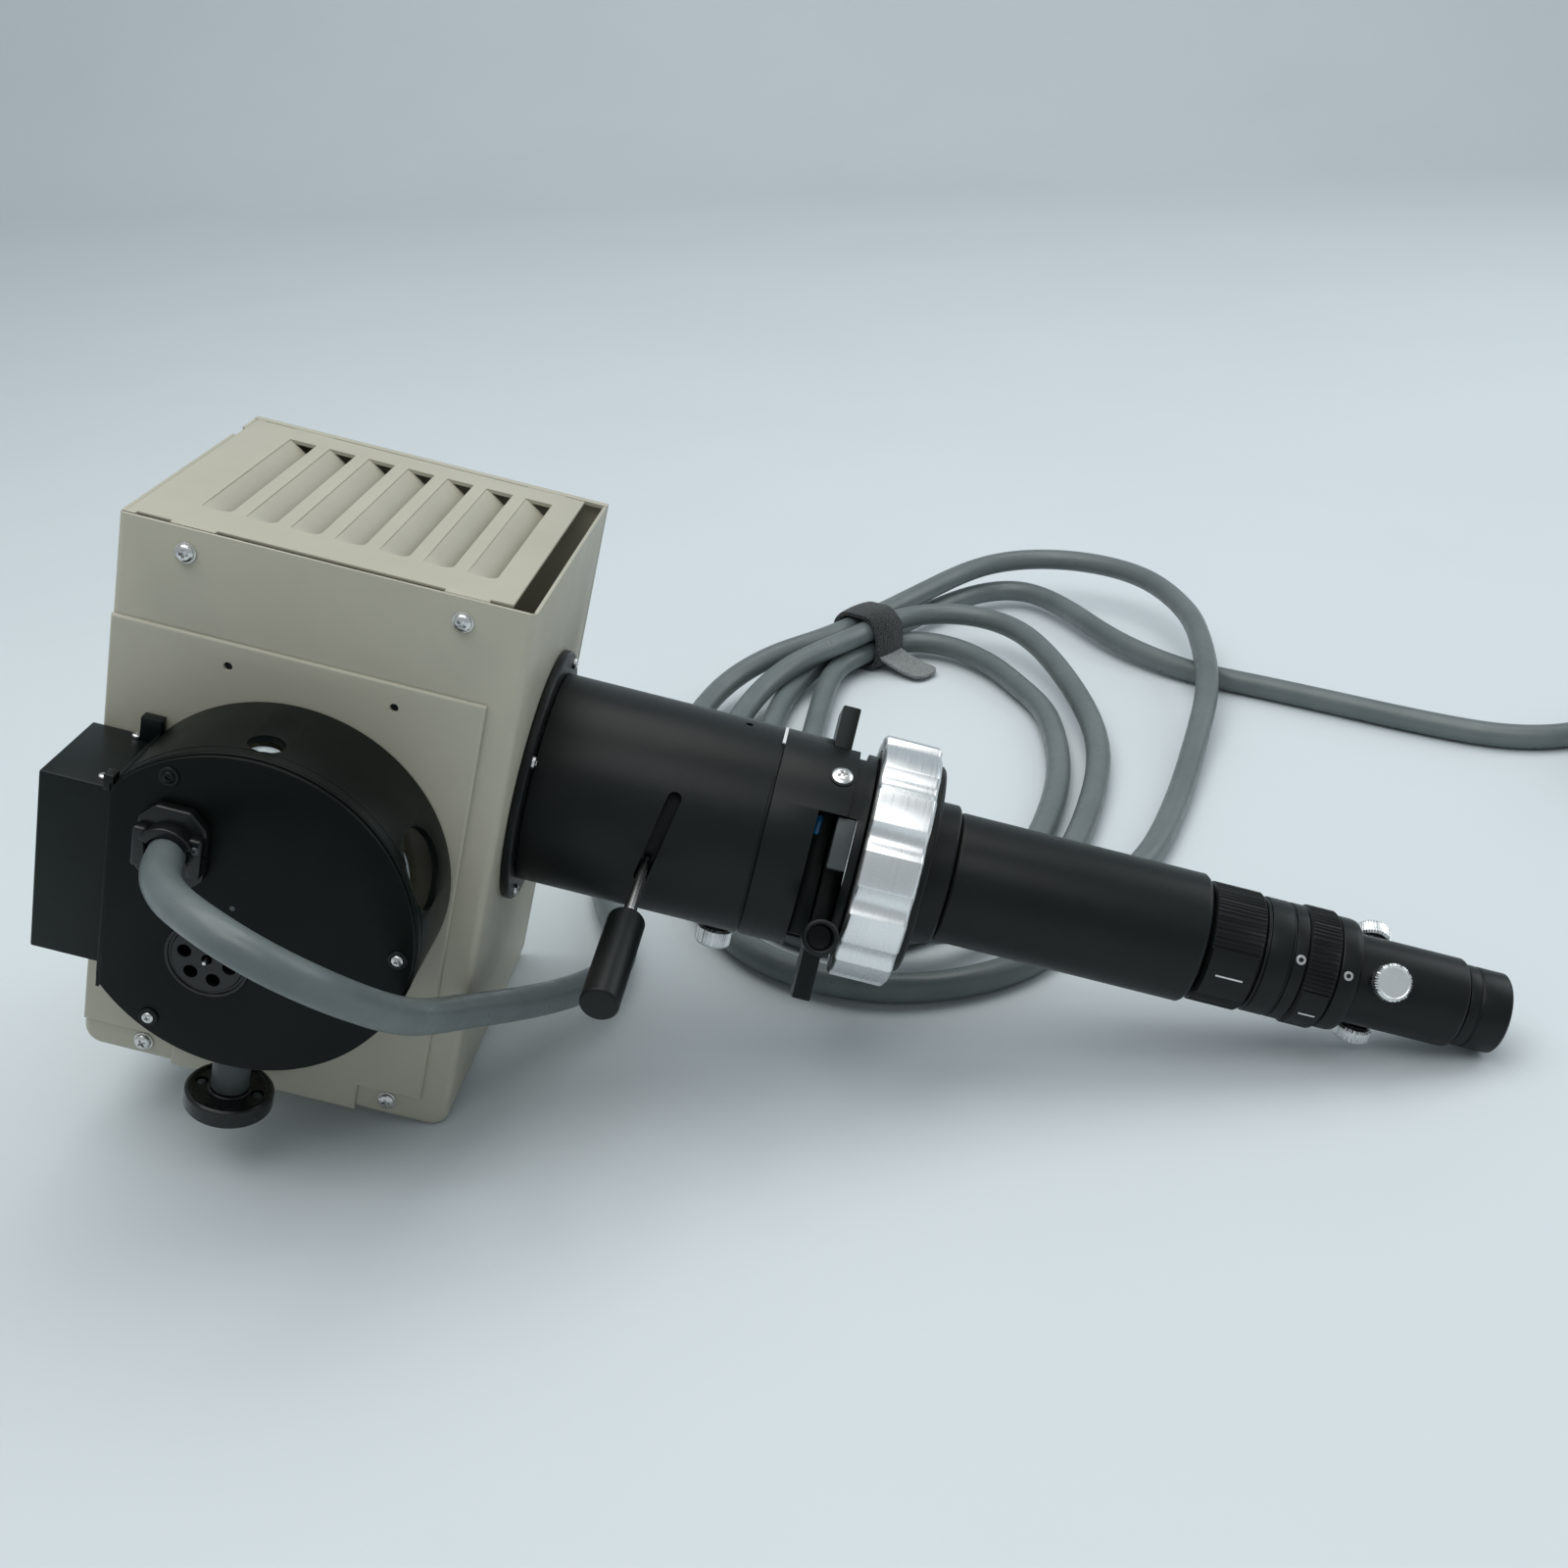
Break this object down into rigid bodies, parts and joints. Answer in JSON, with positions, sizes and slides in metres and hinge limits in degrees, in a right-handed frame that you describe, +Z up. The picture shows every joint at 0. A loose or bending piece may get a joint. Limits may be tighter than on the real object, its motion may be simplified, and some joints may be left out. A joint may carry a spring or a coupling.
{
  "type": "microscope lamp house with illuminator tube",
  "caption": "Ventilated arc-lamp house with side lamp drum, collector tube with focusing lever, filter sliders, diaphragm rings and centring tip, lying on a table with its strapped cord.",
  "frame": {"origin": "centre of the lying assembly's footprint (cord left out), on the table", "axes": "+Z up from the table, +X along the tube from the lamp house towards the tip, -Y the side with the lamp drum; the optical axis slopes down 15.7 degrees towards +X"},
  "size_m": [0.693, 0.6092, 0.2057],
  "materials": {
    "casing_paint": "warm light beige baked enamel, fine orange-peel, satin",
    "black_paint": "satin black enamel",
    "black_anodised": "satin black anodising",
    "zinc_steel": "bright zinc plate",
    "satin_aluminium": "machined and satin clear anodised",
    "grey_shaft": "dull grey",
    "black_phenolic": "moulded black, slightly glossy",
    "lamp_brass": "machined",
    "clear_glass": "polished",
    "blue_glass": "polished, blue",
    "mirror_coating": "polished reflector",
    "cord_pvc": "satin grey cable sheath",
    "hook_and_loop": "fuzzy woven loop tape"
  },
  "bodies": {
    "housing": {"outer_shell": "casing_paint", "rear_cover": "casing_paint", "louvre_top": "casing_paint", "front_plate": "casing_paint", "front_screw_1": "zinc_steel", "front_screw_2": "zinc_steel", "front_screw_3": "zinc_steel", "front_screw_4": "zinc_steel", "lamp_drum": "black_paint", "drum_cover": "black_paint", "drum_screw_1": "zinc_steel", "drum_screw_2": "zinc_steel", "drum_screw_3": "zinc_steel", "junction_box": "black_paint", "terminal_insert": "black_phenolic", "cable_gland": "black_phenolic", "mirror_bracket": "zinc_steel", "reflector_mirror": "mirror_coating", "tube_flange": "black_anodised", "collector_tube": "black_anodised", "filter_tube": "black_anodised", "filter_tube_screw": "zinc_steel", "relay_flange": "black_anodised", "relay_tube": "black_anodised", "relay_lens": "clear_glass", "aperture_iris": "black_paint", "middle_collar": "black_anodised", "field_iris": "black_paint", "end_collar": "black_anodised", "end_body": "black_anodised", "tip_sleeve": "black_anodised", "tip_lens": "clear_glass", "cord_lead": "cord_pvc", "cord_loops": "cord_pvc", "cord_tail": "cord_pvc", "cord_coil": "cord_pvc", "cord_connector": "black_phenolic", "cord_strap": "hook_and_loop"},
    "lamp_knob": {"centring_knob": "black_phenolic", "knob_shaft": "grey_shaft"},
    "lamp_carrier": {"lamp_carriage": "black_anodised", "lamp_arm": "black_anodised", "lamp_lower_cap": "lamp_brass", "lamp_bulb": "clear_glass", "lamp_heat_sink": "satin_aluminium"},
    "lens_carrier": {"collector_lens": "clear_glass"},
    "focus_lever": {"lens_cell": "black_anodised", "lever_pin": "zinc_steel", "lever_handle": "black_anodised"},
    "collector_clamp": {"collector_clamp_screw": "satin_aluminium"},
    "upper_slider": {"upper_filter_slider": "black_paint", "blue_filter_glass": "blue_glass"},
    "lower_slider": {"lower_filter_slider": "black_paint", "slider_knob": "black_anodised"},
    "clamp_grip": {"clamp_ring": "satin_aluminium"},
    "aperture_control": {"aperture_ring": "black_anodised"},
    "field_control": {"field_ring": "black_anodised"},
    "centring_1": {"centring_screw_1": "satin_aluminium"},
    "centring_2": {"centring_screw_2": "satin_aluminium"},
    "centring_3": {"centring_screw_3": "satin_aluminium"}
  },
  "joints": [
    {"name": "lamp_knob_turn", "type": "hinge", "parent": "housing", "child": "lamp_knob", "pos_m": [-0.17318, -0.0492, 0.02766], "axis": [0.2699, 0, 0.9629], "range_deg": [-360, 360]},
    {"name": "lamp_height", "type": "slide", "parent": "housing", "child": "lamp_carrier", "axis": [0.2699, 0, 0.9629], "range_m": [-0.004, 0.004]},
    {"name": "collector_focus", "type": "slide", "parent": "housing", "child": "lens_carrier", "axis": [0.9629, 0, -0.2699], "range_m": [-0.00021, 0.00387]},
    {"name": "focus_lever_swing", "type": "hinge", "parent": "lens_carrier", "child": "focus_lever", "pos_m": [-0.04409, 0.0248, 0.08806], "axis": [-0.9629, 0, 0.2699], "range_deg": [-2, 37]},
    {"name": "collector_clamp_turn", "type": "hinge", "parent": "housing", "child": "collector_clamp", "pos_m": [-0.01953, 0.0248, 0.08118], "axis": [-0.264, -0.2079, -0.9419], "range_deg": [-180, 180]},
    {"name": "upper_filter_slide", "type": "slide", "parent": "housing", "child": "upper_slider", "axis": [0.2337, 0.5, 0.8339], "range_m": [-0.012, 0.008]},
    {"name": "lower_filter_slide", "type": "slide", "parent": "housing", "child": "lower_slider", "axis": [0.2337, 0.5, 0.8339], "range_m": [-0.016, 0]},
    {"name": "clamp_ring_turn", "type": "hinge", "parent": "housing", "child": "clamp_grip", "pos_m": [0.02621, 0.0248, 0.06836], "axis": [0.9629, 0, -0.2699], "range_deg": [-45, 45]},
    {"name": "aperture_ring_turn", "type": "hinge", "parent": "housing", "child": "aperture_control", "pos_m": [0.13598, 0.0248, 0.03759], "axis": [0.9629, 0, -0.2699], "range_deg": [0, 70]},
    {"name": "field_ring_turn", "type": "hinge", "parent": "housing", "child": "field_control", "pos_m": [0.16294, 0.0248, 0.03004], "axis": [0.9629, 0, -0.2699], "range_deg": [0, 70]},
    {"name": "centring_screw_1_turn", "type": "hinge", "parent": "housing", "child": "centring_1", "pos_m": [0.18412, 0.0248, 0.0241], "axis": [0.143, -0.848, 0.5103], "range_deg": [-180, 180]},
    {"name": "centring_screw_2_turn", "type": "hinge", "parent": "housing", "child": "centring_2", "pos_m": [0.18412, 0.0248, 0.0241], "axis": [0.1267, 0.8829, 0.4521], "range_deg": [-180, 180]},
    {"name": "centring_screw_3_turn", "type": "hinge", "parent": "housing", "child": "centring_3", "pos_m": [0.18412, 0.0248, 0.0241], "axis": [-0.2697, -0.0349, -0.9623], "range_deg": [-180, 180]}
  ],
  "couplings": [
    {"joint": "lamp_knob_turn", "follows": "lamp_height", "rad_per_m": 1570.8},
    {"joint": "focus_lever_swing", "follows": "collector_focus", "rad_per_m": 166.67}
  ]
}
